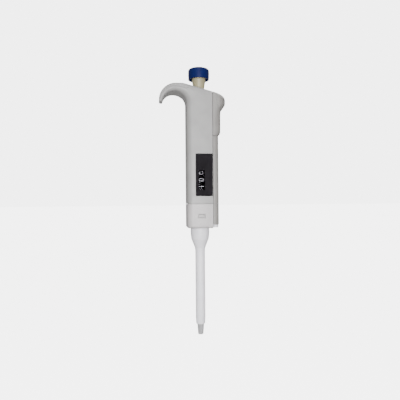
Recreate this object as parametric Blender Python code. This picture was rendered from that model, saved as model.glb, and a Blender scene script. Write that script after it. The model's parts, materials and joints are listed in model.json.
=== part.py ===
"""Adjustable micropipette with a finger hook, a three-ring volume counter and a tip ejector.

Origin: on the pipette's axis, at the end face of the nozzle.  +Z runs up to the push button,
the finger hook points along -X, the ejector lies on +X and the display faces -Y.
All sizes below are in millimetres; add_part() turns each mesh into metres.
"""
from math import asin, ceil, cos, degrees, pi, radians, sin

import bmesh
import bpy
from mathutils import Matrix, Vector

MM = 0.001
GAP = 0.3                    # between pieces that touch

# ---- Driving dimensions: the grip ----
GRIP_LEFT = 12.1             # hook-side face, from the axis
GRIP_RIGHT = 16.1            # ejector-side face, from the axis
GRIP_HALF_DEPTH = 12.5
GRIP_CROWN = 0.4             # how far the flat sides bow out
GRIP_CORNER = 5.5
WALL = 2.0
BACK_WALL = 1.5              # wall behind the ejector bar
SHAFT_LENGTH = 95.4          # nozzle end to the underside of the lower housing
HOUSING_LENGTH = 21.4
HANDLE_RISE = 88.6           # housing seam to the centre of the finger hook's arc

# ---- Driving dimensions: the finger hook ----
HOOK_REACH = 22.6            # axis to the centre of the arc
HOOK_RADIUS = 10.5           # underside arc
HOOK_THICKNESS = 7.0         # at the top of the arc
HOOK_TIP_THICKNESS = 2.75
HOOK_TIP_ANGLE = 171.0
HOOK_TIP_HALF_DEPTH = 5.5
HOOK_SWELL = 0.0027          # how fast the hook's back thickens towards the column
TOP_SLOPE = 15.5             # fall of the handle's top, in degrees
TOP_RISE = 1.46              # of the sloping top above the hook's back
TOP_EDGE = 4.0               # rounding of the handle's top edges

# ---- Driving dimensions: button, counter, piston, ejector ----
BUTTON_RADIUS = 9.5
BUTTON_HEIGHT = 9.5
BUTTON_LIFT = 7.4            # button's rim above its seat in the handle's top
CAP_TOP = 1.9                # thickness of the button's top
STEM_RADIUS = 4.8
STEM_TOP_RADIUS = 6.2
RING_RADIUS = 8.6
RING_RIM = 1.0               # outside of a ring to the roots of its teeth
RING_WIDTH = 4.9
RING_PITCH = 6.0
WINDOW_CENTRE = 0.7          # the figures are read a little to the ejector's side
WINDOW_HALF_WIDTH = 2.8
DISPLAY_LEFT = 4.7           # display's edge on the hook's side, from the axis
DISPLAY_BELOW = 8.6          # display's lower edge under the first ring's centre
DISPLAY_ABOVE = 16.8         # display's upper edge over the last ring's centre
SCREW_RADIUS = 6.0
SCREW_LENGTH = 6.8
ROD_RADIUS = 1.3             # control rod, across its corners
PISTON_RADIUS = 2.52
PISTON_STROKE = 5.0
TUBE_RADIUS = 4.3            # ejector sleeve, outside
BULB_RADIUS = 8.4
SLEEVE_WALL = 0.75
SLEEVE_END = 9.5             # lower end of the ejector sleeve
NOZZLE_RADIUS = 2.35         # at the nozzle's end
BAR_WALL = 1.9
RUNNING_CLEARANCE = 0.25

# ---- Sizes that follow ----
SEAM_X = GRIP_RIGHT - GRIP_CORNER
BAR_X = SEAM_X + GAP
SEAM_Z = SHAFT_LENGTH + HOUSING_LENGTH
HOOK_CENTRE = (-HOOK_REACH, SEAM_Z + HANDLE_RISE)
SEAT_Z = HOOK_CENTRE[1] + 15.2
CAVITY_LEFT = GRIP_LEFT - WALL
CAVITY_RIGHT = SEAM_X - BACK_WALL
CAVITY_HALF_DEPTH = GRIP_HALF_DEPTH - WALL
CAVITY_CORNER = 3.5

LEDGE_Z = SHAFT_LENGTH + 3.6
LEDGE_HEIGHT = 1.5
FLANGE_Z = LEDGE_Z + LEDGE_HEIGHT + GAP
FLANGE_HEIGHT = 2.0
CYLINDER_Z = FLANGE_Z + FLANGE_HEIGHT + GAP
CYLINDER_BASE = 2.0
WASHER_TOP = CYLINDER_Z + 9.2
WASHER_HEIGHT = 1.2
HEAD_Z = WASHER_TOP + PISTON_STROKE
HEAD_HEIGHT = 2.0
HEAD_RADIUS = 6.0
STOP_Z = HEAD_Z + HEAD_HEIGHT + GAP
STOP_HEIGHT = 1.0
SCREW_Z = STOP_Z + STOP_HEIGHT + GAP
FRAME_Z = SCREW_Z + SCREW_LENGTH + GAP
PLATE_HEIGHT = 1.2
FIRST_RING_Z = FRAME_Z + PLATE_HEIGHT + 0.35 + RING_WIDTH / 2
RING_CENTRES = [FIRST_RING_Z + i * RING_PITCH for i in range(3)]
FRAME_TOP = RING_CENTRES[2] + RING_WIDTH / 2 + 2.55
AXLE_INNER = ROD_RADIUS + 0.2
AXLE_OUTER = AXLE_INNER + 0.35
WEB = 0.8                    # thickness of a ring's web
COLLAR_Z = HOOK_CENTRE[1] - 2.7
COLLAR_HEIGHT = 1.9
BUSH_Z = COLLAR_Z + COLLAR_HEIGHT + GAP
BUSH_HEIGHT = 8.3
BUSH_BORE = BUSH_Z + BUSH_HEIGHT + GAP
BUTTON_Z = SEAT_Z + BUTTON_LIFT
SLEEVE_TOP = COLLAR_Z - 12.7
TAIL_Z = FRAME_TOP + 11.0    # lower end of the stem
THUMB_Z = HOOK_CENTRE[1] - 29.0


def clear_scene():
    for obj in list(bpy.data.objects):
        bpy.data.objects.remove(obj, do_unlink=True)


def plastic(name, colour, roughness=0.45, metallic=0.0, alpha=1.0):
    """A Principled material."""
    material = bpy.data.materials.new(name)
    material.use_nodes = True
    shader = material.node_tree.nodes["Principled BSDF"]
    shader.inputs["Base Color"].default_value = (*colour, 1.0)
    shader.inputs["Roughness"].default_value = roughness
    shader.inputs["Metallic"].default_value = metallic
    shader.inputs["Alpha"].default_value = alpha
    return material


# ---- Meshes, in millimetres ----

def turned_mesh(outline, steps=30):
    """A solid of revolution; outline is (radius, height) pairs, closed unless it ends on the axis."""
    bm = bmesh.new()
    verts = [bm.verts.new((r, 0.0, z)) for r, z in outline]
    edges = [bm.edges.new(pair) for pair in zip(verts, verts[1:])]
    if outline[0][0] > 0.0:
        edges.append(bm.edges.new((verts[-1], verts[0])))
    bmesh.ops.spin(bm, geom=verts + edges, cent=(0, 0, 0), axis=(0, 0, 1), angle=2 * pi,
                   steps=steps, use_merge=True)
    bmesh.ops.remove_doubles(bm, verts=bm.verts, dist=1e-5)
    return bm


def loft_mesh(sections):
    """A solid through sections with equal numbers of points, with flat ends."""
    bm = bmesh.new()
    rows = [[bm.verts.new(point) for point in section] for section in sections]
    count = len(rows[0])
    for lower, upper in zip(rows, rows[1:]):
        for i in range(count):
            j = (i + 1) % count
            bm.faces.new((lower[i], lower[j], upper[j], upper[i]))
    bm.faces.new(rows[0])
    bm.faces.new(list(reversed(rows[-1])))
    return bm


def prism_mesh(outline, low, high):
    """An outline in X and Y, extruded along Z."""
    return loft_mesh([[(x, y, z) for x, y in outline] for z in (low, high)])


def side_prism_mesh(outline, half_depth):
    """An outline in X and Z, extruded along Y to both sides."""
    return loft_mesh([[(x, y, z) for x, z in outline] for y in (-half_depth, half_depth)])


def box_mesh(low, high):
    outline = [(low[0], low[1]), (high[0], low[1]), (high[0], high[1]), (low[0], high[1])]
    return prism_mesh(outline, low[2], high[2])


def polygon(radius, sides, turn=0.0, centre=(0.0, 0.0)):
    angles = [turn + 2 * pi * i / sides for i in range(sides)]
    return [(centre[0] + radius * cos(a), centre[1] + radius * sin(a)) for a in angles]


def add_part(name, bm, material, location=(0.0, 0.0, 0.0)):
    """Turn a mesh in millimetres into a shaded object in metres."""
    bmesh.ops.recalc_face_normals(bm, faces=bm.faces)
    mesh = bpy.data.meshes.new(name)
    bm.to_mesh(mesh)
    bm.free()
    mesh.transform(Matrix.Scale(MM, 4))
    mesh.shade_smooth()
    mesh.set_sharp_from_angle(angle=radians(32))
    if material:
        mesh.materials.append(material)
    obj = bpy.data.objects.new(name, mesh)
    obj.location = Vector(location) * MM
    bpy.context.collection.objects.link(obj)
    return obj


def combine(target, bm, operation="DIFFERENCE"):
    """Cut a hidden body out of the target, or join it on."""
    tool = add_part(f"{target.name}_tool_{len(target.modifiers) + 1}", bm, None)
    tool.hide_render = True
    tool.display_type = "WIRE"
    modifier = target.modifiers.new(operation.title(), "BOOLEAN")
    modifier.operation = operation
    modifier.object = tool
    modifier.solver = "EXACT"
    return target


# ---- Grip sections: a rounded box with bowed sides ----

def grip_section(length, near_corner, far_corner, half_depth, crown=GRIP_CROWN):
    """Points (along, across) of a section from its near end (0) to its far end (length)."""
    side = half_depth - crown
    points = []
    for i in range(5):
        a = pi / 2 * i / 4
        points.append((near_corner * (1 - cos(a)), side - near_corner * (1 - sin(a))))
    for f in (0.25, 0.5, 0.75):
        along = near_corner + f * (length - near_corner - far_corner)
        points.append((along, side + crown * (1 - (2 * f - 1) ** 2)))
    for i in range(5):
        a = pi / 2 * i / 4
        points.append((length - far_corner * (1 - sin(a)), side - far_corner * (1 - cos(a))))
    return points + [(along, -across) for along, across in reversed(points)]


def level_section(x, z, length, near_corner, far_corner, half_depth, crown=GRIP_CROWN):
    """A horizontal section whose near end stands at x."""
    section = grip_section(length, near_corner, far_corner, half_depth, crown)
    return [(x + along, across, z) for along, across in section]


def column_section(z, inset=0.0):
    """The handle's section: rounded on the hook's side, cut square at the ejector's seam."""
    x = -GRIP_LEFT + inset
    return level_section(x, z, SEAM_X - x - inset / 2, GRIP_CORNER, GAP, GRIP_HALF_DEPTH - inset)


def rounded_rectangle(left, right, half_depth, corner):
    points = []
    for cx, cy, start in ((right - corner, half_depth - corner, 0),
                          (left + corner, half_depth - corner, 90),
                          (left + corner, corner - half_depth, 180),
                          (right - corner, corner - half_depth, 270)):
        for i in range(4):
            a = radians(start + 30 * i)
            points.append((cx + corner * cos(a), cy + corner * sin(a)))
    return points


def cavity_outline(clearance=0.0):
    return rounded_rectangle(-CAVITY_LEFT + clearance, CAVITY_RIGHT - clearance,
                             CAVITY_HALF_DEPTH - clearance, CAVITY_CORNER)


# ---- Handle ----

def top_line_radius(angle):
    """Distance from the hook's centre to the sloping top of the handle, in direction angle."""
    normal = radians(90 - TOP_SLOPE)
    return (HOOK_RADIUS + HOOK_THICKNESS + TOP_RISE) / cos(angle - normal)


def hook_back_radius(angle):
    """Distance from the hook's centre to the back of the hook."""
    turn = degrees(angle) - 90
    if turn < 0:
        return HOOK_RADIUS + HOOK_THICKNESS + HOOK_SWELL * turn ** 2
    share = turn / (HOOK_TIP_ANGLE - 90)
    return HOOK_RADIUS + HOOK_THICKNESS - (HOOK_THICKNESS - HOOK_TIP_THICKNESS) * share ** 1.25


def hook_section(angle):
    """A section in a plane through the hook's centre line, from the underside to the outside."""
    on_face = angle < top_corner_angle()
    if on_face:
        outside = (SEAM_X + HOOK_REACH) / cos(angle)
    elif angle < radians(60):
        outside = top_line_radius(angle)
    else:
        outside = hook_back_radius(angle)
        if angle < radians(80):
            outside = min(outside, top_line_radius(angle))
    length = outside - HOOK_RADIUS
    taper = max(0.0, (degrees(angle) - 60) / (HOOK_TIP_ANGLE - 60))
    half_depth = GRIP_HALF_DEPTH - (GRIP_HALF_DEPTH - HOOK_TIP_HALF_DEPTH) * taper ** 1.3
    near = min(GRIP_CORNER, 0.45 * length)
    far = GAP if on_face else min(TOP_EDGE, 0.45 * length)
    crown = GRIP_CROWN * (1 - taper)
    points = []
    for along, across in grip_section(length, near, far, half_depth, crown):
        reach = HOOK_RADIUS + along
        points.append((HOOK_CENTRE[0] + reach * cos(angle), across,
                       HOOK_CENTRE[1] + reach * sin(angle)))
    return points


def top_corner_angle():
    """Direction in which the sloping top meets the seam's plane."""
    low, high = 0.0, radians(60)
    for _ in range(40):
        middle = (low + high) / 2
        if (SEAM_X + HOOK_REACH) / cos(middle) < top_line_radius(middle):
            low = middle
        else:
            high = middle
    return low


def handle_mesh():
    """The column, carried round the hook's centre to the tip of the hook."""
    corner = degrees(top_corner_angle())
    angles = [0, corner / 2, corner - 0.5, corner + 0.5, corner + 3, corner + 8]
    angles += list(range(34, 64, 6)) + list(range(64, 166, 9)) + [HOOK_TIP_ANGLE - 3]
    sections = [column_section(SEAM_Z + GAP / 2)]
    sections += [hook_section(radians(a)) for a in angles]
    tip = hook_section(radians(HOOK_TIP_ANGLE))
    middle = sum((Vector(p) for p in tip), Vector()) / len(tip)
    sections.append([tuple(middle + (Vector(p) - middle) * 0.75) for p in tip])
    return loft_mesh(sections)


WINDOW_MARGIN = 0.6          # window past the first and last rings


def display_box(clearance, right, front, back):
    """The display's outline, from left of the figures to the right."""
    low = (clearance - DISPLAY_LEFT, front, RING_CENTRES[0] - DISPLAY_BELOW + clearance)
    high = (right, back, RING_CENTRES[2] + DISPLAY_ABOVE - clearance)
    return box_mesh(low, high)


def window_box(clearance, front, back):
    half = WINDOW_HALF_WIDTH - clearance
    margin = RING_WIDTH / 2 + WINDOW_MARGIN - clearance
    return box_mesh((WINDOW_CENTRE - half, front, RING_CENTRES[0] - margin),
                    (WINDOW_CENTRE + half, back, RING_CENTRES[2] + margin))


PANEL_THICKNESS = 0.8
PANEL_FRONT = GAP - GRIP_HALF_DEPTH
PANEL_BACK = PANEL_FRONT + PANEL_THICKNESS
BUSH_RADIUS = 6.8
COLLAR_RADIUS = 6.4
SEAT_DEPTH = 8.0             # of the cut above the button's seat
RAIL_HALF_WIDTH = 2.0
RAIL_REACH = 2.6
RAIL_TOP = THUMB_Z - 10.5
LUG_Z = THUMB_Z + 4.0
LUG_HEIGHT = 2.0
LUG_HALF_WIDTH = 2.4
POCKET_DEPTH = 4.5


def build_handle(material):
    handle = add_part("handle_shell", handle_mesh(), material)
    depth = GRIP_HALF_DEPTH
    combine(handle, prism_mesh(cavity_outline(), SEAM_Z - 2, COLLAR_Z - 1.7))
    for radius, low, high in ((BUSH_RADIUS + GAP, COLLAR_Z - 3, BUSH_BORE),
                              (STEM_TOP_RADIUS + GAP, BUSH_BORE - 1, SEAT_Z + SEAT_DEPTH + 1),
                              (BUTTON_RADIUS + 0.7, SEAT_Z, SEAT_Z + SEAT_DEPTH)):
        combine(handle, turned_mesh([(0, high), (radius, high), (radius, low), (0, low)]))
    combine(handle, display_box(0, SEAM_X + 1, -depth - 1, PANEL_BACK + GAP))
    combine(handle, window_box(-0.4, -depth, -CAVITY_HALF_DEPTH + 1))
    root = SEAM_X - 0.5
    combine(handle, box_mesh((root, -RAIL_HALF_WIDTH, SEAM_Z + 2.2),
                             (SEAM_X + RAIL_REACH, RAIL_HALF_WIDTH, RAIL_TOP)), "UNION")
    combine(handle, box_mesh((root, -LUG_HALF_WIDTH, LUG_Z),
                             (BAR_X + POCKET_DEPTH - 0.4, LUG_HALF_WIDTH, LUG_Z + LUG_HEIGHT)), "UNION")


def build_bush(material):
    inner = STEM_RADIUS + GAP
    top = BUSH_Z + BUSH_HEIGHT
    outline = [(inner, top), (BUSH_RADIUS, top), (BUSH_RADIUS, BUSH_Z), (inner, BUSH_Z)]
    add_part("stem_guide_bush", turned_mesh(outline), material)


# ---- Lower housing and latch ----

SLOT_Z = SHAFT_LENGTH + 9.0
SLOT_HEIGHT = 3.7
SLOT_HALF_WIDTH = 3.25
SLOT_CENTRE = 0.45
LUG_GAP = 0.45               # round the lug, where its outline shows
ARM_HALF_WIDTH = 3.6
ARM_Z = SHAFT_LENGTH + 0.5
ARM_HEIGHT = 2.4
HOUSING_EDGE = 2.0           # rounding of the lower housing's bottom edge
LATCH_HALF_WIDTH = 4.2


def build_lower_housing(material):
    top = SEAM_Z - GAP / 2
    low = SHAFT_LENGTH
    sections = []
    for i in range(4):
        a = pi / 2 * i / 3
        sections.append(column_section(low + HOUSING_EDGE * (1 - cos(a)), HOUSING_EDGE * (1 - sin(a))))
    sections.append(column_section(top))
    housing = add_part("lower_housing", loft_mesh(sections), material)
    combine(housing, prism_mesh(cavity_outline(), LEDGE_Z + LEDGE_HEIGHT, top + 1))
    mouth = BULB_RADIUS + 0.6
    neck = BULB_RADIUS - 1.1
    combine(housing, turned_mesh([(0, top), (neck, top), (neck, LEDGE_Z), (mouth, LEDGE_Z),
                                  (mouth, low - 1), (0, low - 1)]))
    notch = ARM_HALF_WIDTH + 0.5
    combine(housing, box_mesh((4, -notch, low - 1), (SEAM_X + 1, notch, ARM_Z + ARM_HEIGHT + 0.5)))
    combine(housing, box_mesh((SLOT_CENTRE - SLOT_HALF_WIDTH, -GRIP_HALF_DEPTH - 1, SLOT_Z),
                              (SLOT_CENTRE + SLOT_HALF_WIDTH, -CAVITY_HALF_DEPTH + 1, SLOT_Z + SLOT_HEIGHT)))


def build_latch(material):
    """A spring tongue inside the wall, with a lug that fills the slot."""
    back = -CAVITY_HALF_DEPTH + 1.0
    front = -CAVITY_HALF_DEPTH + 0.4
    tongue = box_mesh((-LATCH_HALF_WIDTH, front, SLOT_Z - 1.5), (LATCH_HALF_WIDTH, back, SEAM_Z + 5))
    latch = add_part("latch_clip", tongue, material)
    half = SLOT_HALF_WIDTH - LUG_GAP
    lug = box_mesh((SLOT_CENTRE - half, -GRIP_HALF_DEPTH + 0.6, SLOT_Z + LUG_GAP),
                   (SLOT_CENTRE + half, (front + back) / 2, SLOT_Z + SLOT_HEIGHT - LUG_GAP))
    combine(latch, lug, "UNION")


# ---- Display and counter ----

def build_display(black, clear):
    panel = add_part("display_panel", display_box(GAP, SEAM_X - GAP, PANEL_FRONT, PANEL_BACK), black)
    combine(panel, window_box(0, PANEL_FRONT - 1, PANEL_BACK + 1))
    add_part("window_lens", window_box(GAP, PANEL_FRONT + 0.1, -CAVITY_HALF_DEPTH - 0.4), clear)


PILLAR_INSET = 2.5
PILLARS = [(PILLAR_INSET - CAVITY_LEFT, CAVITY_HALF_DEPTH - PILLAR_INSET),
           (CAVITY_RIGHT - PILLAR_INSET, CAVITY_HALF_DEPTH - PILLAR_INSET)]
PILLAR_RADIUS = 0.9
CARRIER_RADIUS = RING_RADIUS + 0.1
TOOTH_ROOT = RING_RADIUS - RING_RIM
TOOTH_TIP = TOOTH_ROOT - 0.85
PINION_CLEARANCE = 0.2
PINION_RADIUS = (TOOTH_ROOT - PINION_CLEARANCE - AXLE_OUTER - 0.55) / 2
PINION_OFFSET = TOOTH_ROOT - PINION_RADIUS - PINION_CLEARANCE
JOURNAL_RADIUS = 1.0
PLATE_SHOULDER = 6.5         # where the plates' sides turn square, behind the axis


def plate_outline():
    """Round in front, squared at the back where the pillars stand."""
    points = [(CARRIER_RADIUS * cos(radians(a)), CARRIER_RADIUS * sin(radians(a)))
              for a in range(-180, 1, 12)]
    back = CAVITY_HALF_DEPTH - 1.3
    left, right = PILLARS[0][0] - 1.0, PILLARS[1][0] + 1.2
    return points + [(CARRIER_RADIUS, PLATE_SHOULDER), (right, back), (left, back),
                     (-CARRIER_RADIUS - 0.4, PLATE_SHOULDER)]


def build_counter_frame(material):
    plate = prism_mesh(plate_outline(), FRAME_Z, FRAME_Z + PLATE_HEIGHT)
    frame = add_part("counter_frame", plate, material)
    combine(frame, prism_mesh(plate_outline(), FRAME_TOP, FRAME_TOP + PLATE_HEIGHT), "UNION")
    for centre in PILLARS:
        pillar = prism_mesh(polygon(PILLAR_RADIUS, 12, centre=centre), FRAME_Z + 0.5, FRAME_TOP + 0.7)
        combine(frame, pillar, "UNION")
    axle_hole = AXLE_OUTER + RUNNING_CLEARANCE
    combine(frame, prism_mesh(polygon(axle_hole, 20), FRAME_Z - 1, FRAME_Z + PLATE_HEIGHT + 1))
    combine(frame, prism_mesh(polygon(NECK_RADIUS + 0.4, 24), FRAME_TOP - 1, FRAME_TOP + PLATE_HEIGHT + 1))


def build_counter_axle(material):
    low = FRAME_Z + 0.3
    high = RING_CENTRES[2] + WEB / 2 + 0.1
    add_part("counter_axle", turned_mesh([(AXLE_INNER, high), (AXLE_OUTER, high), (AXLE_OUTER, low),
                                          (AXLE_INNER, low)], 20), material)


def toothed_outline(tooth_angles, root, tip, root_width, tip_width):
    """A circle of the root radius with teeth that reach to the tip radius, in or out."""
    marks = []
    for angle in sorted(tooth_angles):
        half_root = asin(root_width / 2 / root)
        half_tip = asin(tip_width / 2 / tip)
        marks += [(angle - half_root, root), (angle - half_tip, tip), (angle + half_tip, tip),
                  (angle + half_root, root)]
    points = []
    for index, (angle, radius) in enumerate(marks):
        points.append((radius * cos(angle), radius * sin(angle)))
        if index % 4 == 3:
            following = marks[(index + 1) % len(marks)][0]
            span = (following - angle) % (2 * pi)
            steps = max(1, ceil(span / radians(14)))
            for step in range(1, steps):
                a = angle + span * step / steps
                points.append((root * cos(a), root * sin(a)))
    return points


RING_TEETH = 20
PINION_TEETH = 6
TOOTH_WIDTHS = (0.9, 0.55)   # of a ring's tooth, at its root and its tip
PLATE_HALF = 0.3
FULL_RING = [pi / 2 + (k + 0.5) * 2 * pi / RING_TEETH for k in range(RING_TEETH)]
CARRY_PAIR = [pi / 2 - pi / RING_TEETH, pi / 2 + pi / RING_TEETH]


def build_ring(name, centre, material, driven, carrying):
    """A number ring: a rim round a web, toothed above where driven, and below where it carries."""
    low = centre - RING_WIDTH / 2
    high = centre + RING_WIDTH / 2
    plain = polygon(TOOTH_ROOT, 24)
    upper = toothed_outline(FULL_RING, TOOTH_ROOT, TOOTH_TIP, *TOOTH_WIDTHS) if driven else plain
    lower = toothed_outline(CARRY_PAIR, TOOTH_ROOT, TOOTH_TIP, *TOOTH_WIDTHS) if carrying else plain
    ring = add_part(name, prism_mesh(polygon(RING_RADIUS, 32), low, high), material)
    combine(ring, prism_mesh(upper, centre + WEB / 2, high + 1))
    combine(ring, prism_mesh(lower, low - 1, centre - WEB / 2))
    combine(ring, prism_mesh(polygon(AXLE_OUTER + RUNNING_CLEARANCE, 20), low, high))


def build_carrier_and_pinion(number, centre, frame_material, gear_material):
    """The plate between two rings, and the pinion in its notch that carries between them."""
    plate = add_part(f"carrier_plate_{number}",
                     prism_mesh(plate_outline(), centre - PLATE_HALF, centre + PLATE_HALF), frame_material)
    combine(plate, prism_mesh(polygon(AXLE_OUTER + RUNNING_CLEARANCE, 20), centre - 1, centre + 1))
    notch = JOURNAL_RADIUS + RUNNING_CLEARANCE
    outline = [(-notch, PINION_OFFSET), (-notch * 0.7, PINION_OFFSET - notch * 0.7),
               (0, PINION_OFFSET - notch), (notch * 0.7, PINION_OFFSET - notch * 0.7),
               (notch, PINION_OFFSET), (notch, CAVITY_HALF_DEPTH), (-notch, CAVITY_HALF_DEPTH)]
    combine(plate, prism_mesh(outline, centre - 1, centre + 1))
    for pillar in PILLARS:
        combine(plate, prism_mesh(polygon(PILLAR_RADIUS + RUNNING_CLEARANCE, 12, centre=pillar),
                                  centre - 1, centre + 1))
    teeth = [pi / 2 + k * 2 * pi / PINION_TEETH for k in range(PINION_TEETH)]
    reach = RING_PITCH / 2 - WEB / 2 - GAP
    root = 0.62 * PINION_RADIUS
    lower = toothed_outline(teeth, root, PINION_RADIUS, 0.48 * root, 0.32 * root)
    tip = TOOTH_TIP - PINION_OFFSET - 0.1
    root = 0.74 * tip
    upper = toothed_outline(teeth, root, tip, 0.54 * root, 0.38 * root)
    pinion = add_part(f"transfer_pinion_{number}", prism_mesh(lower, -reach, -0.6), gear_material,
                      location=(0, PINION_OFFSET, centre))
    for piece in (prism_mesh(polygon(JOURNAL_RADIUS, 14), -0.9, 0.9), prism_mesh(upper, 0.6, reach)):
        bmesh.ops.translate(piece, verts=piece.verts, vec=(0, PINION_OFFSET, centre))
        combine(pinion, piece, "UNION")


# ---- Drive: sleeve, stem, button ----

NECK_RADIUS = 3.4
SHOULDER_Z = FRAME_TOP + PLATE_HEIGHT + 2.0
SLEEVE_RADIUS = 4.4          # drive sleeve, outside
TAIL_RADIUS = 2.6
BRAKE_SECTION = 0.7          # radius of the brake ring's cord


def build_drive_sleeve(material):
    disc_z = RING_CENTRES[2] + WEB / 2 + GAP + 0.2
    disc_top = RING_CENTRES[2] + RING_WIDTH / 2 - 0.4
    disc = TOOTH_ROOT - 0.5
    inner = ROD_RADIUS + GAP
    shoulder = SLEEVE_RADIUS + 1.0
    outline = [(inner, SLEEVE_TOP), (COLLAR_RADIUS, SLEEVE_TOP), (COLLAR_RADIUS, SLEEVE_TOP - 2),
               (SLEEVE_RADIUS, SLEEVE_TOP - 3), (SLEEVE_RADIUS, SHOULDER_Z + 1.6),
               (shoulder, SHOULDER_Z + 1.4), (shoulder, SHOULDER_Z), (NECK_RADIUS, SHOULDER_Z),
               (NECK_RADIUS, disc_top), (disc, disc_top), (disc, disc_z), (inner, disc_z)]
    sleeve = add_part("drive_sleeve", turned_mesh(outline), material)
    socket = polygon(TAIL_RADIUS + GAP, 6)
    combine(sleeve, prism_mesh(socket, SHOULDER_Z + 0.8, SLEEVE_TOP + 1))


def build_brake_ring(material):
    low = FRAME_TOP + PLATE_HEIGHT
    around = SLEEVE_RADIUS + 0.1
    add_part("brake_o_ring", torus_mesh(around, BRAKE_SECTION, (low + SHOULDER_Z) / 2), material)


def torus_mesh(radius, section, height):
    return turned_mesh([(radius + x, height + y) for x, y in reversed(polygon(section, 6))], 20)


def build_stem(material, steel):
    rim = BUTTON_Z
    top = rim + BUTTON_HEIGHT - CAP_TOP - GAP
    collar_top = COLLAR_Z + COLLAR_HEIGHT
    shank = SLEEVE_TOP + 7.5
    outline = [(0, top), (STEM_TOP_RADIUS - 0.5, top), (STEM_TOP_RADIUS - 0.2, top - 0.3),
               (STEM_TOP_RADIUS, rim + 1), (STEM_TOP_RADIUS - 0.1, rim - 0.5),
               (STEM_RADIUS + 0.15, SEAT_Z + 0.4), (STEM_RADIUS, SEAT_Z - 1.6),
               (STEM_RADIUS, collar_top), (COLLAR_RADIUS, collar_top), (COLLAR_RADIUS, COLLAR_Z),
               (STEM_RADIUS, COLLAR_Z), (STEM_RADIUS, shank), (0, shank)]
    stem = add_part("stem", turned_mesh(outline), material)
    combine(stem, prism_mesh(polygon(TAIL_RADIUS, 6), TAIL_Z, shank + 1), "UNION")
    socket_top = TAIL_Z + 12
    combine(stem, prism_mesh(polygon(ROD_RADIUS + 0.2, 16), TAIL_Z - 1, socket_top))
    rod = prism_mesh(polygon(ROD_RADIUS, 6), HEAD_Z + HEAD_HEIGHT + GAP, socket_top - GAP)
    add_part("control_rod", rod, steel)


def build_button(blue, grey):
    radius = BUTTON_RADIUS
    low = BUTTON_Z
    top = low + BUTTON_HEIGHT
    inner = radius - 1.5
    roof = top - CAP_TOP
    outline = [(0, top), (radius - 2.8, top), (radius - 1.3, top - 0.4), (radius - 0.4, top - 1.3),
               (radius, top - 2.6), (radius, low + 0.7), (radius - 0.6, low), (inner + 0.3, low),
               (inner, low + 0.4), (inner, roof), (0, roof)]
    add_part("push_button_cap", turned_mesh(outline), blue)
    hole = STEM_TOP_RADIUS + GAP
    insert_low, insert_top = low + 1.8, low + 3.2
    add_part("button_insert", turned_mesh([(hole, insert_top), (inner - GAP, insert_top),
                                           (inner - GAP, insert_low), (hole, insert_low)]), grey)


# ---- Piston unit ----

CHAMFER = 0.4
NUT_WALL = 1.9
POCKET_RADIUS = 4.9          # seal pocket in the tip cone
ROD_END_Z = SHAFT_LENGTH - 3.4
SPRING_FOOT_Z = CYLINDER_Z + CYLINDER_BASE + GAP
SEAT_HEIGHT = 0.9
SEAL_HEIGHT = 1.5
SEAL_SECTION = 0.75          # radius of the seal ring's cord


def chamfered_drum(radius, low, high, steps=30):
    inner = radius - CHAMFER
    return turned_mesh([(0, high), (inner, high), (radius, high - CHAMFER), (radius, low + CHAMFER),
                        (inner, low), (0, low)], steps)


def build_volume_screw(brass, steel):
    hole = ROD_RADIUS + GAP
    washer = SCREW_RADIUS - 1
    washer_hole = hole + 0.4
    washer_top = STOP_Z + STOP_HEIGHT
    add_part("stop_washer", turned_mesh([(washer_hole, washer_top), (washer, washer_top),
                                         (washer, STOP_Z), (washer_hole, STOP_Z)], 24), steel)
    top = SCREW_Z + SCREW_LENGTH
    screw = add_part("volume_screw", chamfered_drum(SCREW_RADIUS, SCREW_Z, top), steel)
    combine(screw, prism_mesh(polygon(hole, 6), SCREW_Z - 1, top + 1))
    bore = SCREW_RADIUS + GAP
    outer = bore + NUT_WALL
    nut = turned_mesh([(bore, top), (outer, top), (outer, SCREW_Z), (bore, SCREW_Z)])
    add_part("threaded_nut", nut, brass)


def build_piston(steel, white):
    add_part("piston_rod", chamfered_drum(PISTON_RADIUS, ROD_END_Z, HEAD_Z - GAP, 24), steel)
    add_part("piston_head", chamfered_drum(HEAD_RADIUS, HEAD_Z, HEAD_Z + HEAD_HEIGHT, 24), white)


def build_blowout(white, steel):
    """The cylinder over the tip cone's flange, with the washer that gives the second stop."""
    outer = HEAD_RADIUS + 2.4
    bore = outer - 0.7
    base = CYLINDER_Z + CYLINDER_BASE
    lip = WASHER_TOP + GAP
    rim = lip + 1.0
    clear = HEAD_RADIUS + 0.9
    hole = PISTON_RADIUS + 0.4
    cylinder = [(hole, base), (bore, base), (bore, lip), (clear, lip), (clear, rim), (outer, rim),
                (outer, CYLINDER_Z), (hole, CYLINDER_Z)]
    add_part("blowout_cylinder", turned_mesh(cylinder), white)
    low = WASHER_TOP - WASHER_HEIGHT
    inner, edge = HEAD_RADIUS + GAP, bore - GAP
    washer = turned_mesh([(inner, WASHER_TOP), (edge, WASHER_TOP), (edge, low), (inner, low)])
    add_part("blowout_washer", washer, steel)
    seat = SPRING_FOOT_Z
    edge = HEAD_RADIUS - 0.5
    top = seat + SEAT_HEIGHT
    disc = turned_mesh([(hole, top), (edge, top), (edge, seat), (hole, seat)], 24)
    add_part("spring_seat", disc, steel)


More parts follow.
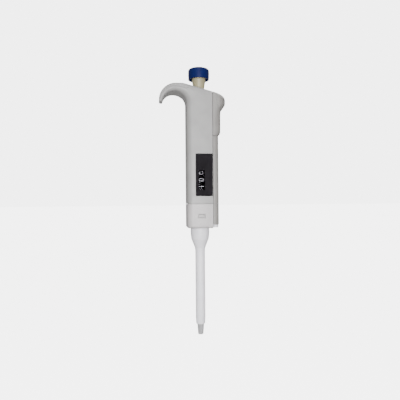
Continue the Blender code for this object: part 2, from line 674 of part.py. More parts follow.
def build_tip_cone(material, white, rubber):
    bore = PISTON_RADIUS + 0.28
    floor = SHAFT_LENGTH - 14.9
    pocket = POCKET_RADIUS
    top = FLANGE_Z + FLANGE_HEIGHT
    pocket_floor = top - 4.0
    air = 0.55
    shaft = TUBE_RADIUS - SLEEVE_WALL - 0.45
    neck = BULB_RADIUS - 1.4
    flange = BULB_RADIUS + 0.2
    outline = [(pocket, top), (flange, top), (flange, FLANGE_Z), (neck, FLANGE_Z),
               (neck, SHAFT_LENGTH - 6.9), (shaft, SHAFT_LENGTH - 16.9), (shaft, SLEEVE_END),
               (NOZZLE_RADIUS, 0.3), (NOZZLE_RADIUS - 0.3, 0), (air, 0), (air, floor), (bore, floor),
               (bore, pocket_floor), (pocket, pocket_floor)]
    add_part("tip_cone", turned_mesh(outline), material)
    low = pocket_floor + GAP
    high = low + SEAL_HEIGHT
    inner, edge = PISTON_RADIUS + 0.08, pocket - GAP
    seal = turned_mesh([(inner, high), (edge, high), (edge, low), (inner, low)], 24)
    add_part("piston_seal", seal, white)
    add_part("seal_o_ring", torus_mesh(pocket - 1.1, SEAL_SECTION, high + SEAL_SECTION + 0.1), rubber)


# ---- Ejector ----

# The thumb button from the side: its sloping top, and its reach at heights above its foot
THUMB_TOP = [(-1, 9.8), (3.9, 8.2), (7.4, 6.6), (10.1, 4.7), (11.3, 3.3), (12.6, 0.9)]
THUMB_STEPS = [(0.0, 5.2), (2.6, 7.4), (21.8, 7.6), (27.6, 11.9), (42.0, 11.9)]
BAR_Z = ARM_Z + ARM_HEIGHT + GAP
EJECTOR_HALF_DEPTH = GRIP_HALF_DEPTH - GRIP_CROWN
SCREW_X = BAR_X + 2.5
PILOT_RADIUS = 1.2           # screw hole through the arm and into the bar
HEAD_SINK = 1.9              # radius of the screw head's sink
POCKET_TOP = THUMB_Z + 20.9
SPRING_WIRE = 0.45
FOOT_HALF_DEPTH = 8.0
FOOT_CORNER = 2.3


def build_ejector_bar(grey):
    full = GRIP_RIGHT - BAR_X
    top = THUMB_Z - GAP
    sections = [level_section(BAR_X, z, full, GAP, full - 2 * GAP, EJECTOR_HALF_DEPTH, 0)
                for z in (BAR_Z, top)]
    bar = add_part("ejector_bar", loft_mesh(sections), grey)
    inside = EJECTOR_HALF_DEPTH - 3.0
    combine(bar, box_mesh((BAR_X - 1, -inside, BAR_Z + 9.5), (GRIP_RIGHT - BAR_WALL, inside, top + 1)))
    combine(bar, prism_mesh(polygon(PILOT_RADIUS, 16, centre=(SCREW_X, 0)), BAR_Z - 1, BAR_Z + 6.5))


def build_ejector_button(grey):
    sections = []
    for rise, length in THUMB_STEPS:
        corner = min(length - 2 * GAP, 6.5)
        z = THUMB_Z + rise
        sections.append(level_section(BAR_X, z, length, GAP, corner, EJECTOR_HALF_DEPTH, 0))
    thumb = add_part("ejector_button", loft_mesh(sections), grey)
    base = HOOK_CENTRE[1]
    outline = [(BAR_X + x, base + z) for x, z in THUMB_TOP]
    outline += [(BAR_X + 16, base + 0.9), (BAR_X + 16, base + 20), (BAR_X - 1, base + 20)]
    combine(thumb, side_prism_mesh(outline, GRIP_HALF_DEPTH + 2))
    pocket = LUG_HALF_WIDTH + 0.4
    combine(thumb, box_mesh((BAR_X - 1, -pocket, LUG_Z - 0.4), (BAR_X + POCKET_DEPTH, pocket, POCKET_TOP)))


def sleeve_outline(top):
    """Bulb, conical neck and tube, from the arm down to the mouth."""
    ref = SHAFT_LENGTH
    bulb, tube = BULB_RADIUS, TUBE_RADIUS
    return [(0, top), (bulb - 0.1, top), (bulb - 0.1, ref - 0.5), (bulb, ref - 3), (bulb - 0.15, ref - 6.5),
            (bulb - 0.75, ref - 10.3), (bulb - 1.85, ref - 13), (tube + 1.2, ref - 15.7),
            (tube + 0.25, ref - 18.2), (tube, ref - 21), (tube, SLEEVE_END + 5.5),
            (tube - 0.35, SLEEVE_END), (0, SLEEVE_END)]


def build_ejector_sleeve(white):
    top = ARM_Z + ARM_HEIGHT
    sleeve = add_part("ejector_sleeve", turned_mesh(sleeve_outline(top), 32), white)
    arm = box_mesh((5, -ARM_HALF_WIDTH, ARM_Z), (BAR_X + 0.5, ARM_HALF_WIDTH, top))
    combine(sleeve, arm, "UNION")
    foot = rounded_rectangle(BAR_X, GRIP_RIGHT - 0.2, FOOT_HALF_DEPTH, FOOT_CORNER)
    combine(sleeve, prism_mesh(foot, ARM_Z, top), "UNION")
    inner = BULB_RADIUS - 0.8
    bore = TUBE_RADIUS - SLEEVE_WALL
    ref = SHAFT_LENGTH
    combine(sleeve, turned_mesh([(0, top + 1), (inner, top + 1), (inner, ref - 7.9), (bore, ref - 18.9),
                                 (bore, SLEEVE_END + 3), (bore - 0.1, SLEEVE_END - 1),
                                 (0, SLEEVE_END - 1)], 32))
    combine(sleeve, prism_mesh(polygon(PILOT_RADIUS, 16, centre=(SCREW_X, 0)), ARM_Z - 1, top + 1))
    combine(sleeve, prism_mesh(polygon(HEAD_SINK, 20, centre=(SCREW_X, 0)), ARM_Z - 1, ARM_Z + 1.3))


def build_ejector_screw(steel):
    shank, head = PILOT_RADIUS - GAP, HEAD_SINK - GAP
    low, neck, high = ARM_Z + 0.1, ARM_Z + 1.0, BAR_Z + 5.5
    screw = turned_mesh([(0, high), (shank, high), (shank, neck), (head, neck), (head, low), (0, low)], 16)
    bmesh.ops.translate(screw, verts=screw.verts, vec=(SCREW_X, 0, 0))
    add_part("ejector_screw", screw, steel)


def coil_spring(name, centre, low, high, radius, wire, turns, material):
    """A spring of round wire whose ends stand between low and high."""
    count = turns * 9
    bottom = low + wire / 2
    rise = high - low - wire
    sections = []
    for i in range(count + 1):
        a = 2 * pi * turns * i / count
        height = bottom + rise * i / count
        rim = polygon(wire / 2, 5)
        sections.append([(centre[0] + (radius + out) * cos(a), centre[1] + (radius + out) * sin(a),
                          height + up) for out, up in rim])
    add_part(name, loft_mesh(sections), material)


def build_springs(steel):
    foot = SPRING_FOOT_Z
    coil_spring("main_spring", (0, 0), foot + SEAT_HEIGHT + GAP, HEAD_Z - GAP, 4.4, 0.6, 6, steel)
    washer_foot = WASHER_TOP - WASHER_HEIGHT - GAP
    coil_spring("blowout_spring", (0, 0), foot, washer_foot, HEAD_RADIUS + 0.9, 0.7, 3, steel)
    coil_spring("button_spring", (0, 0), SLEEVE_TOP + GAP, COLLAR_Z - GAP, STEM_RADIUS + 0.8, 0.6, 6, steel)
    coil_spring("ejector_spring", (BAR_X + 2.2, 0), LUG_Z + LUG_HEIGHT + GAP, POCKET_TOP - GAP, 1.75,
                SPRING_WIRE, 9, steel)


def main():
    clear_scene()
    light_grey = plastic("light grey plastic", (0.53, 0.52, 0.50))
    lower_grey = plastic("lower grey plastic", (0.56, 0.54, 0.53))
    white = plastic("white plastic", (0.80, 0.80, 0.84), 0.4)
    cream = plastic("cream plastic", (0.52, 0.48, 0.36), 0.4)
    blue = plastic("blue plastic", (0.010, 0.020, 0.10), 0.35)
    black = plastic("black plastic", (0.012, 0.011, 0.014), 0.5)
    clear = plastic("clear plastic", (0.85, 0.88, 0.9), 0.1, alpha=0.3)
    insert_grey = plastic("grey insert plastic", (0.16, 0.16, 0.17), 0.5)
    nylon = plastic("natural nylon", (0.75, 0.73, 0.68), 0.4)
    rubber = plastic("black rubber", (0.03, 0.03, 0.03), 0.8)
    steel = plastic("steel", (0.6, 0.6, 0.62), 0.3, 1.0)
    brass = plastic("brass", (0.7, 0.52, 0.22), 0.3, 1.0)

    build_handle(light_grey)
    build_bush(nylon)
    build_lower_housing(lower_grey)
    build_latch(white)
    build_display(black, clear)
    build_counter_frame(black)
    build_counter_axle(steel)
    build_ring("hundreds_ring", RING_CENTRES[0], black, driven=True, carrying=False)
    build_ring("tens_ring", RING_CENTRES[1], black, driven=True, carrying=True)
    build_ring("ones_ring", RING_CENTRES[2], black, driven=False, carrying=True)
    for number, ring in ((1, 1), (2, 0)):
        build_carrier_and_pinion(number, RING_CENTRES[ring] + RING_PITCH / 2, black, white)
    build_drive_sleeve(nylon)
    build_brake_ring(rubber)
    build_stem(cream, steel)
    build_button(blue, insert_grey)
    build_volume_screw(brass, steel)
    build_piston(steel, nylon)
    build_blowout(nylon, steel)
    build_tip_cone(white, nylon, rubber)
    build_ejector_bar(light_grey)
    build_ejector_button(light_grey)
    build_ejector_sleeve(white)
    build_ejector_screw(steel)
    build_springs(steel)


main()
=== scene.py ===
"""Adjustable micropipette: the finished surfaces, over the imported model."""
import json
from math import asin, cos, degrees, pi, radians, sin, tan

import bpy
from mathutils import Matrix, Vector


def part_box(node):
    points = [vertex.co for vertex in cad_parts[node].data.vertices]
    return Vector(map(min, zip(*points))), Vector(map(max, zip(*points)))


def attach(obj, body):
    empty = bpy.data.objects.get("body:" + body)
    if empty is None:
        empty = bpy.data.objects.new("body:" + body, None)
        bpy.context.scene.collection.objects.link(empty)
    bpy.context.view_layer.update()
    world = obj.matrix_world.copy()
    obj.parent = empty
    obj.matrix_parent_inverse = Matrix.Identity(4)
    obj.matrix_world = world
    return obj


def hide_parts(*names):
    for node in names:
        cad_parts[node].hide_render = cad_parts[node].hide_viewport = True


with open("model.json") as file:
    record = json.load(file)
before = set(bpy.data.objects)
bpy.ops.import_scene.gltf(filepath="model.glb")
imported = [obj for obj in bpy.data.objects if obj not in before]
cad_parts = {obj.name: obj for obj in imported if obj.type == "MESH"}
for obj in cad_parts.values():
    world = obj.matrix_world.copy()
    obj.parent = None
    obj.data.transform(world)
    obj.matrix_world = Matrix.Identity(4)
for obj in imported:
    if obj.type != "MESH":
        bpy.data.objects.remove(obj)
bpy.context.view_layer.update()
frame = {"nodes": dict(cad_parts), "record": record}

MM = 0.001

# ---------------------------------------------------------------------------------------------
# Camera: level, a little to the finger hook's side of square on, 0.36 m from the axis, and
# turned by half a degree, because the pipette leans that much.
# ---------------------------------------------------------------------------------------------
CAMERA_TURN = radians(-6)
CAMERA_DISTANCE = 0.36
CAMERA_HEIGHT = 0.1202
camera_data = bpy.data.cameras.new("camera")
camera_data.lens = 36
camera_data.sensor_width = 36
camera = bpy.data.objects.new("camera", camera_data)
bpy.context.collection.objects.link(camera)
towards = Vector((-sin(CAMERA_TURN), cos(CAMERA_TURN), 0))
camera.location = Vector((0.0003, 0, CAMERA_HEIGHT)) - towards * CAMERA_DISTANCE
level = towards.to_track_quat("-Z", "Y").to_matrix()
camera.rotation_euler = (level @ Matrix.Rotation(radians(-0.5), 3, "Z")).to_euler()
bpy.context.scene.camera = camera

# ---------------------------------------------------------------------------------------------
# Studio: pale paper far below the hanging pipette, a pale world flagged at both sides and
# below, and a broad soft light in front, so that the rounded sides fall off into shade.
# The paper is lit for the camera alone and throws no light back on the pipette.
# ---------------------------------------------------------------------------------------------
FLOOR_Z = -0.28
WORLD_LIGHT = 1.1
PAPER_LIGHT = 5.0


def pick_only(*objects):
    """Deselect everything, then select these objects and make the first one active."""
    bpy.ops.object.select_all(action="DESELECT")
    for obj in objects:
        obj.select_set(True)
    bpy.context.view_layer.objects.active = objects[0]


pick_only(camera)
bpy.ops.mesh.primitive_plane_add(size=60, location=(0, 0, FLOOR_Z))
floor = bpy.context.object
floor.name = "studio_floor"


def new_material(name, roughness=0.5):
    """A node material; returns it with its tree and its Principled shader."""
    material = bpy.data.materials.new(name)
    material.use_nodes = True
    shader = material.node_tree.nodes["Principled BSDF"]
    shader.inputs["Roughness"].default_value = roughness
    return material, material.node_tree, shader


def noise(tree, scale, detail=3.0, stretch=(1, 1, 1)):
    """Noise on Object coordinates; scale is in features per metre."""
    where = tree.nodes.new("ShaderNodeTexCoord")
    place = tree.nodes.new("ShaderNodeMapping")
    place.inputs["Scale"].default_value = stretch
    texture = tree.nodes.new("ShaderNodeTexNoise")
    texture.inputs["Scale"].default_value = scale
    texture.inputs["Detail"].default_value = detail
    tree.links.new(where.outputs["Object"], place.inputs["Vector"])
    tree.links.new(place.outputs["Vector"], texture.inputs["Vector"])
    return texture.outputs["Fac"]


def ramp(tree, value, stops):
    """Colours (r, g, b) at positions along a value."""
    node = tree.nodes.new("ShaderNodeValToRGB")
    node.color_ramp.elements[0].position = stops[0][0]
    node.color_ramp.elements[0].color = (*stops[0][1], 1)
    node.color_ramp.elements[1].position = stops[-1][0]
    node.color_ramp.elements[1].color = (*stops[-1][1], 1)
    for position, colour in stops[1:-1]:
        node.color_ramp.elements.new(position).color = (*colour, 1)
    tree.links.new(value, node.inputs["Fac"])
    return node.outputs["Color"]


def spread(tree, value, low, high):
    """Map the middle of a noise onto a range."""
    node = tree.nodes.new("ShaderNodeMapRange")
    node.inputs["From Min"].default_value = 0.3
    node.inputs["From Max"].default_value = 0.7
    node.inputs["To Min"].default_value = low
    node.inputs["To Max"].default_value = high
    tree.links.new(value, node.inputs["Value"])
    return node.outputs["Result"]


def roughen(tree, shader, height, strength, distance):
    """Bump from a height value."""
    bump = tree.nodes.new("ShaderNodeBump")
    bump.inputs["Strength"].default_value = strength
    bump.inputs["Distance"].default_value = distance
    tree.links.new(height, bump.inputs["Height"])
    tree.links.new(bump.outputs["Normal"], shader.inputs["Normal"])


def satin_plastic(name, dark, light, roughness=(0.38, 0.52), grain=2600, relief=0.25,
                  translucent=0.0, gloss=0.5):
    """Moulded plastic: slow mottling of its colour, patchy gloss and a fine spark-eroded grain."""
    material, tree, shader = new_material(name)
    mottling = noise(tree, 90, 5)
    tree.links.new(ramp(tree, mottling, [(0.32, dark), (0.68, light)]), shader.inputs["Base Color"])
    tree.links.new(spread(tree, noise(tree, 240, 4), *roughness), shader.inputs["Roughness"])
    roughen(tree, shader, noise(tree, grain, 2), relief, 0.00006)
    shader.inputs["Specular IOR Level"].default_value = gloss
    if translucent:
        shader.inputs["Subsurface Weight"].default_value = translucent
        shader.inputs["Subsurface Radius"].default_value = (0.0016, 0.0015, 0.0014)
        shader.inputs["Subsurface Scale"].default_value = 1.0
    return material


def wear_material(piece, material):
    piece.data.materials.clear()
    piece.data.materials.append(material)


paper, paper_tree, paper_shader = new_material("studio_paper", 0.9)
paper_tree.links.new(ramp(paper_tree, noise(paper_tree, 0.4), [(0.3, (0.97, 0.97, 0.97)), (0.7, (1, 1, 1))]),
                     paper_shader.inputs["Emission Color"])
paper_shader.inputs["Emission Strength"].default_value = PAPER_LIGHT
wear_material(floor, paper)
floor.visible_diffuse = False
floor.visible_glossy = False
floor.visible_transmission = False
floor.visible_shadow = False

world = bpy.data.worlds.new("studio")
world.use_nodes = True
sky = world.node_tree
direction = sky.nodes.new("ShaderNodeTexCoord")
sideways = sky.nodes.new("ShaderNodeSeparateXYZ")
off_centre = sky.nodes.new("ShaderNodeMath")
off_centre.operation = "ABSOLUTE"
upright = sky.nodes.new("ShaderNodeMapRange")
upright.inputs["From Min"].default_value = -1
flagged = sky.nodes.new("ShaderNodeVectorMath")
flagged.operation = "MULTIPLY"
sky.links.new(direction.outputs["Generated"], sideways.inputs["Vector"])
sky.links.new(sideways.outputs["X"], off_centre.inputs[0])
sky.links.new(sideways.outputs["Z"], upright.inputs["Value"])
sides = ramp(sky, off_centre.outputs["Value"], [(0.15, (1, 1, 1)), (0.7, (0.24, 0.23, 0.22))])
below = ramp(sky, upright.outputs["Result"], [(0.25, (0.35, 0.34, 0.33)), (0.5, (1, 1, 1))])
sky.links.new(sides, flagged.inputs[0])
sky.links.new(below, flagged.inputs[1])
sky.links.new(flagged.outputs["Vector"], sky.nodes["Background"].inputs["Color"])
sky.nodes["Background"].inputs["Strength"].default_value = WORLD_LIGHT
behind = sky.nodes.new("ShaderNodeBackground")
behind.inputs["Strength"].default_value = PAPER_LIGHT
seen = sky.nodes.new("ShaderNodeLightPath")
either = sky.nodes.new("ShaderNodeMixShader")
behind.inputs["Color"].default_value = (0.985, 0.985, 0.985, 1)
sky.links.new(seen.outputs["Is Camera Ray"], either.inputs["Fac"])
sky.links.new(sky.nodes["Background"].outputs["Background"], either.inputs[1])
sky.links.new(behind.outputs["Background"], either.inputs[2])
sky.links.new(either.outputs["Shader"], sky.nodes["World Output"].inputs["Surface"])
bpy.context.scene.world = world


def area_light(name, place, size, power):
    light = bpy.data.lights.new(name, "AREA")
    light.energy = power
    light.size = size
    lamp = bpy.data.objects.new(name, light)
    lamp.location = place
    lamp.rotation_euler = (Vector((0, 0, 0.13)) - Vector(place)).to_track_quat("-Z", "Y").to_euler()
    bpy.context.collection.objects.link(lamp)


area_light("front_light", (-0.04, -0.70, 0.06), 0.3, 7.6)
area_light("top_light", (-0.10, -0.45, 0.8), 0.4, 2.0)

# ---------------------------------------------------------------------------------------------
# Handle: one hollow moulding in light grey plastic, with the finger hook, cut off flat where the
# ejector runs. The column's oval is carried up and then round the hook's arc to its tip. The
# mechanism goes in from below, and the lower housing closes it.
# ---------------------------------------------------------------------------------------------
housing_low, housing_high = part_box("lower_housing")
handle_low, handle_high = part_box("handle_shell")
bar_low, bar_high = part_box("ejector_bar")
GRIP_LEFT = housing_low.x
SEAM_X = housing_high.x
GRIP_RIGHT = bar_high.x
HALF_DEPTH = housing_high.y
CROWN = 0.4 * MM
CORNER = 5.5 * MM
HOOK_X = GRIP_LEFT - 10.48 * MM
HOOK_Z = handle_low.z + 88.45 * MM
HOOK_RADIUS = 10.5 * MM
HOOK_THICKNESS = 7.0 * MM
HOOK_SWELL = 0.0027 * MM
TIP_THICKNESS = 2.75 * MM
TIP_ANGLE = radians(171)
TIP_HALF_DEPTH = 5.5 * MM
TOP_NORMAL = radians(74.5)
TOP_DISTANCE = 18.96 * MM
TOP_EDGE = 4.0 * MM
ROUNDED_SHARE = 0.46


def oval(length, near, far, half_depth, crown):
    """A rounded box with bowed sides, as (along, across) points from its near end."""
    side = half_depth - crown
    half = []
    for i in range(11):
        a = pi / 2 * i / 10
        half.append((near * (1 - cos(a)), side - near * (1 - sin(a))))
    for i in range(1, 12):
        share = i / 12
        along = near + share * (length - near - far)
        half.append((along, side + crown * (1 - (2 * share - 1) ** 2)))
    for i in range(11):
        a = pi / 2 * i / 10
        half.append((length - far * (1 - sin(a)), side - far * (1 - cos(a))))
    return half + [(along, -across) for along, across in reversed(half)]


def start_edit(element):
    """Enter edit mode on the active object with nothing selected."""
    bpy.ops.object.mode_set(mode="EDIT")
    bpy.ops.mesh.select_mode(type=element)
    bpy.ops.mesh.select_all(action="DESELECT")


def pick_ring(piece, first, count):
    """Select one ring of a piece's vertices, and the edges round it, for the next operator."""
    start_edit("VERT")
    bpy.ops.object.mode_set(mode="OBJECT")
    for vertex in piece.data.vertices[first:first + count]:
        vertex.select = True
    bpy.ops.object.mode_set(mode="EDIT")


def skin(name, loops):
    """A closed piece: a ring extruded from section to section, with its two ends filled."""
    count = len(loops[0])
    bpy.ops.object.select_all(action="DESELECT")
    bpy.ops.mesh.primitive_circle_add(vertices=count, radius=MM)
    piece = bpy.context.object
    piece.name = name
    vertices = piece.data.vertices
    for vertex, point in zip(vertices, loops[0]):
        vertex.co = point
    order = list(range(count))
    for k, loop in enumerate(loops[1:]):
        pick_ring(piece, k * count, count)
        bpy.ops.mesh.extrude_edges_move()
        bpy.ops.object.mode_set(mode="OBJECT")
        vertices = piece.data.vertices
        places = {tuple(vertices[k * count + i].co): order[i] for i in range(count)}
        order = [places[tuple(vertices[(k + 1) * count + i].co)] for i in range(count)]
        for i in range(count):
            vertices[(k + 1) * count + i].co = loop[order[i]]
    for first in (0, (len(loops) - 1) * count):
        pick_ring(piece, first, count)
        bpy.ops.mesh.edge_face_add()
        bpy.ops.object.mode_set(mode="OBJECT")
    bpy.ops.object.mode_set(mode="EDIT")
    bpy.ops.mesh.select_all(action="SELECT")
    bpy.ops.mesh.normals_make_consistent(inside=False)
    bpy.ops.object.mode_set(mode="OBJECT")
    return piece


def apply_all(piece):
    pick_only(piece)
    for modifier in list(piece.modifiers):
        bpy.ops.object.modifier_apply(modifier=modifier.name)


def carve(piece, tool, operation="DIFFERENCE"):
    """Cut a tool out of a piece, or join it on, and take the tool away."""
    modifier = piece.modifiers.new("carve", "BOOLEAN")
    modifier.object = tool
    modifier.operation = operation
    modifier.solver = "EXACT"
    apply_all(piece)
    bpy.data.objects.remove(tool, do_unlink=True)


def block(low, high, rounding=0.0, axis=None, segments=3):
    """A box between two corners; the edges along axis, or all of them, are rounded."""
    low, high = Vector(low), Vector(high)
    bpy.ops.object.select_all(action="DESELECT")
    bpy.ops.mesh.primitive_cube_add(size=1, location=(low + high) / 2, scale=high - low)
    bpy.ops.object.transform_apply(location=True, rotation=True, scale=True)
    box = bpy.context.object
    if rounding:
        start_edit("EDGE")
        bpy.ops.object.mode_set(mode="OBJECT")
        for edge in box.data.edges:
            near, far = (box.data.vertices[v].co for v in edge.vertices)
            edge.select = axis is None or abs((near - far).normalized()[axis]) > 0.9
        bpy.ops.object.mode_set(mode="EDIT")
        bpy.ops.mesh.bevel(offset=rounding, segments=segments, profile=0.5, affect="EDGES")
        bpy.ops.object.mode_set(mode="OBJECT")
    return box


def drum(radius, low, high, x=0.0, vertices=64):
    """An upright cylinder to cut with."""
    bpy.ops.object.select_all(action="DESELECT")
    bpy.ops.mesh.primitive_cylinder_add(vertices=vertices, radius=radius, depth=high - low,
                                        location=(x, 0, (low + high) / 2))
    bpy.ops.object.transform_apply(location=True, rotation=True, scale=True)
    return bpy.context.object


def soften(piece, width, angle=35, segments=3):
    """Round the sharp edges a little; the faces beside them keep their own shading."""
    smooth(piece)
    bevel = piece.modifiers.new("edges", "BEVEL")
    bevel.width = width
    bevel.segments = segments
    bevel.limit_method = "ANGLE"
    bevel.angle_limit = radians(angle)
    bevel.harden_normals = True
    apply_all(piece)


def smooth(piece, angle=30):
    pick_only(piece)
    bpy.ops.object.shade_smooth_by_angle(angle=radians(angle))


def finish_piece(piece, material, body, slot, *nodes):
    """Give a piece its material and its body, and hide the CAD nodes it stands for. The slot is not used."""
    wear_material(piece, material)
    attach(piece, body)
    if nodes:
        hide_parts(*nodes)


def column_loop(z, inset=0.0):
    length = GRIP_RIGHT - GRIP_LEFT - 2 * inset
    return [(GRIP_LEFT + inset + along, across, z)
            for along, across in oval(length, CORNER, CORNER, HALF_DEPTH - inset, CROWN)]


def hook_reach(angle):
    """Distance from the hook's centre to the outside of the handle, in direction angle."""
    face = (GRIP_RIGHT - HOOK_X) / cos(angle) if angle < radians(50) else 1.0
    top = TOP_DISTANCE / cos(angle - TOP_NORMAL) if angle < radians(80) else 1.0
    back = 1.0
    turn = degrees(angle) - 90
    if turn > 0:
        share = turn / degrees(TIP_ANGLE - pi / 2)
        back = HOOK_RADIUS + HOOK_THICKNESS - (HOOK_THICKNESS - TIP_THICKNESS) * share ** 1.25
    elif turn > -30:
        back = HOOK_RADIUS + HOOK_THICKNESS + HOOK_SWELL * turn ** 2
    return min(face, top, back)


def hook_loop(angle, shrink=1.0):
    length = hook_reach(angle) - HOOK_RADIUS
    taper = max(0.0, (degrees(angle) - 60) / (degrees(TIP_ANGLE) - 60))
    half_depth = HALF_DEPTH - (HALF_DEPTH - TIP_HALF_DEPTH) * taper ** 1.3
    near = min(CORNER, ROUNDED_SHARE * length)
    far = min(TOP_EDGE, ROUNDED_SHARE * length) if angle > radians(14) else CORNER
    points = []
    for along, across in oval(length, near, far, half_depth, CROWN * (1 - taper)):
        along = length / 2 + (along - length / 2) * shrink
        reach = HOOK_RADIUS + along
        points.append((HOOK_X + reach * cos(angle), across * shrink, HOOK_Z + reach * sin(angle)))
    return points


def cut_at_seam(piece):
    """Cut off the flat face that the ejector runs along, and close it."""
    pick_only(piece)
    bpy.ops.object.mode_set(mode="EDIT")
    bpy.ops.mesh.select_all(action="SELECT")
    bpy.ops.mesh.bisect(plane_co=(SEAM_X, 0, 0), plane_no=(1, 0, 0), use_fill=True,
                        clear_outer=True)
    bpy.ops.object.mode_set(mode="OBJECT")


handle_loops = [column_loop(handle_low.z + rise * MM) for rise in (0, 30, 60)]
handle_loops += [hook_loop(radians(a)) for a in range(0, 168, 3)]
handle_loops += [hook_loop(TIP_ANGLE - radians(2)), hook_loop(TIP_ANGLE - radians(0.8), 0.9),
                 hook_loop(TIP_ANGLE, 0.72)]
handle = skin("handle", handle_loops)
cut_at_seam(handle)

WALL = 2.0 * MM
BACK_WALL = 1.5 * MM
CAVITY_CORNER = 3.5 * MM
BUTTON_LIFT = 7.4 * MM
STEM_HOLE = 6.5 * MM
BUTTON_SEAT = 10.2 * MM
GAP = 0.3 * MM
RAIL_FOOT = 2.1 * MM
RAIL_TO_BAR_TOP = 10.2 * MM


def hollow(low_z, high_z, inset=0.0, corner=CAVITY_CORNER):
    """The inside of the handle or the housing between two heights, as a solid to cut with."""
    return block((GRIP_LEFT + WALL + inset, WALL + inset - HALF_DEPTH, low_z),
                 (SEAM_X - BACK_WALL - inset, HALF_DEPTH - WALL - inset, high_z), corner, axis=2, segments=6)


bush_low, bush_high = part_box("stem_guide_bush")
cap_low, cap_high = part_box("push_button_cap")
SEAT_Z = cap_low.z - BUTTON_LIFT
ABOVE_TOP = cap_high.z
carve(handle, hollow(handle_low.z - 2 * MM, bush_low.z - 3.9 * MM))
carve(handle, drum(bush_high.x + GAP, bush_low.z - 5 * MM, bush_high.z + GAP))
carve(handle, drum(STEM_HOLE, bush_high.z - 1 * MM, ABOVE_TOP))
carve(handle, drum(BUTTON_SEAT, SEAT_Z, ABOVE_TOP, vertices=96))
panel_low, panel_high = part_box("display_panel")
recess_low = panel_low - Vector((GAP, 2 * MM, GAP))
recess_high = panel_high + Vector((GAP + 1 * MM, GAP, GAP))
carve(handle, block(recess_low, recess_high, 0.6 * MM, axis=1, segments=4))
lens_low, lens_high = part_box("window_lens")
lens_high.z -= 0.9 * MM
carve(handle, block(lens_low - Vector((0.6, 1, 0.6)) * MM, lens_high + Vector((0.6, 3, 0.6)) * MM))
spring_low, spring_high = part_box("ejector_spring")
guide_rail = block((SEAM_X - 0.5 * MM, -2 * MM, handle_low.z + RAIL_FOOT),
                   (SEAM_X + 2.6 * MM, 2 * MM, bar_high.z - RAIL_TO_BAR_TOP))
carve(handle, guide_rail, "UNION")
spring_lug = block((SEAM_X - 0.5 * MM, -2.4 * MM, spring_low.z - 2.4 * MM),
                   (handle_high.x, 2.4 * MM, spring_low.z - 0.4 * MM))
carve(handle, spring_lug, "UNION")
soften(handle, 0.16 * MM, 50, 2)
handle_plastic = satin_plastic("handle_plastic", (0.285, 0.281, 0.279), (0.325, 0.321, 0.319))
finish_piece(handle, handle_plastic, "handle", "light_grey_plastic", "handle_shell")

# ---------------------------------------------------------------------------------------------
# Lower housing: a second moulding with the same oval, in a slightly paler grey plastic. A lip
# at its upper edge is pushed into the handle and the latch holds it there. Its lower edge is
# rounded, and its mouth takes the ejector sleeve's bulb.
# ---------------------------------------------------------------------------------------------
FOOT_ROUNDING = 2.0 * MM
bottom = housing_low.z
housing_loops = []
for i in range(7):
    a = pi / 2 * i / 6
    housing_loops.append(column_loop(bottom + FOOT_ROUNDING * (1 - cos(a)), FOOT_ROUNDING * (1 - sin(a))))
housing_loops.append(column_loop(housing_high.z))
housing = skin("lower_housing_shell", housing_loops)
cut_at_seam(housing)
carve(housing, hollow(bottom + 5.1 * MM, housing_high.z + 2 * MM))
lip_base = housing_high.z
lip = hollow(lip_base - 1.6 * MM, lip_base - 0.2 * MM, -0.5 * MM)
carve(lip, hollow(lip_base - 1.5 * MM, lip_base + 2.6 * MM, 0.2 * MM, 3.4 * MM), "UNION")
carve(lip, hollow(lip_base - 3 * MM, lip_base + 4 * MM, 1.2 * MM, 2.6 * MM))
carve(lip, block((-4.7 * MM, -HALF_DEPTH, lip_base - 3 * MM), (4.7 * MM, -6 * MM, lip_base + 4 * MM)))
carve(housing, lip, "UNION")
carve(housing, drum(7.3 * MM, bottom + 2 * MM, housing_high.z))
carve(housing, drum(9.0 * MM, bottom - 1 * MM, bottom + 3.6 * MM, vertices=96))
carve(housing, block((4 * MM, -4.1 * MM, bottom - 1 * MM), (SEAM_X + 1 * MM, 4.1 * MM, bottom + 3.4 * MM)))
slot_low = Vector((-2.8 * MM, -HALF_DEPTH - 1 * MM, bottom + 9.0 * MM))
slot_high = Vector((3.7 * MM, 1 * MM + WALL - HALF_DEPTH, bottom + 12.7 * MM))
carve(housing, block(slot_low, slot_high, 0.35 * MM, axis=1))
soften(housing, 0.16 * MM, 50, 2)
housing_plastic = satin_plastic("housing_plastic", (0.450, 0.428, 0.432), (0.500, 0.478, 0.482))
finish_piece(housing, housing_plastic, "handle", "lower_grey_plastic", "lower_housing")

# ---------------------------------------------------------------------------------------------
# Latch: a springy white moulding, a tongue inside the wall with a lug that stands in the
# housing's slot. Pressing the lug in lets the housing slide off.
# ---------------------------------------------------------------------------------------------
latch_low, latch_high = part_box("latch_clip")
latch = block((latch_low.x, latch_high.y - 0.6 * MM, latch_low.z), latch_high, 0.2 * MM, segments=2)
LUG_MARGIN_X = 0.75 * MM
LUG_MARGIN_Z = 0.7 * MM
lug = block((slot_low.x + LUG_MARGIN_X, latch_low.y, slot_low.z + LUG_MARGIN_Z),
            (slot_high.x - LUG_MARGIN_X, latch_high.y - GAP, slot_high.z - LUG_MARGIN_Z),
            0.2 * MM, segments=4)
carve(latch, lug, "UNION")
latch.name = "latch"
smooth(latch)
# The latch's white plastic is painted about half as bright as the sleeve's white. This is painted shade for
# the lug, which sits recessed in the housing's slot.
latch_plastic_painted_shade = satin_plastic("latch_plastic_painted_shade", (0.41, 0.395, 0.395), (0.46, 0.445, 0.445))
finish_piece(latch, latch_plastic_painted_shade, "latch", "white_plastic", "latch_clip")

